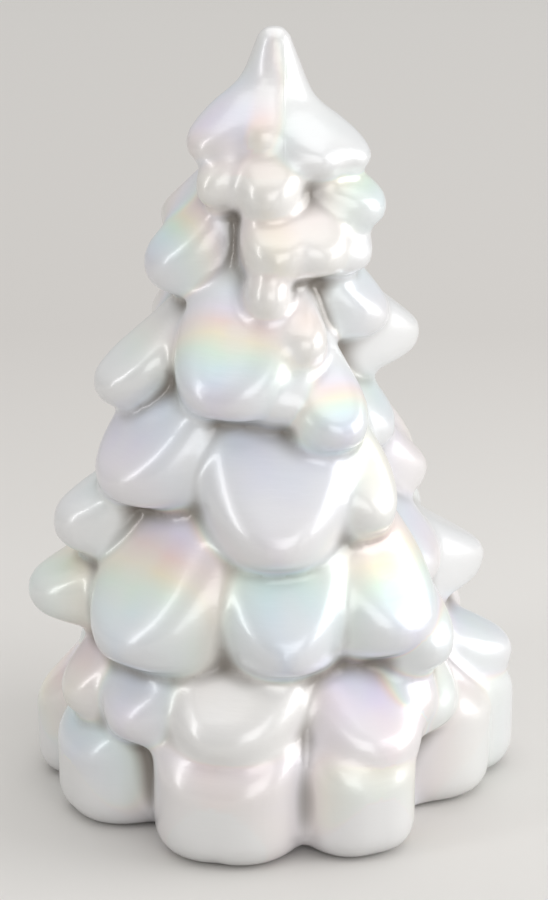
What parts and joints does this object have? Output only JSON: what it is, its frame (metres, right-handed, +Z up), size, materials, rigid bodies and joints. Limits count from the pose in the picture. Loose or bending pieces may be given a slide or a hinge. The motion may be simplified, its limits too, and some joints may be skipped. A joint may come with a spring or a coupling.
{
  "type": "glass christmas tree figurine",
  "caption": "Pearly white pressed-glass Christmas tree figurine with overlapping drooping boughs, hollow from below, on thin clear rest pads.",
  "frame": {"origin": "on the table, on the tree's axis, under the middle of the foot", "axes": "+Z up the tree, -Y towards the viewer of the picture, +X to the viewer's right"},
  "size_m": [0.1274, 0.1247, 0.203],
  "materials": {
    "pearl_glass": "opaque white glass, fire polished, with a pearly iridescent lustre of pale pink, yellow, green and blue",
    "clear_vinyl": "soft clear vinyl, satin"
  },
  "bodies": {
    "root": {"glass_tree": "pearl_glass", "rest_pad_1": "clear_vinyl", "rest_pad_2": "clear_vinyl", "rest_pad_3": "clear_vinyl", "rest_pad_4": "clear_vinyl"}
  },
  "joints": []
}
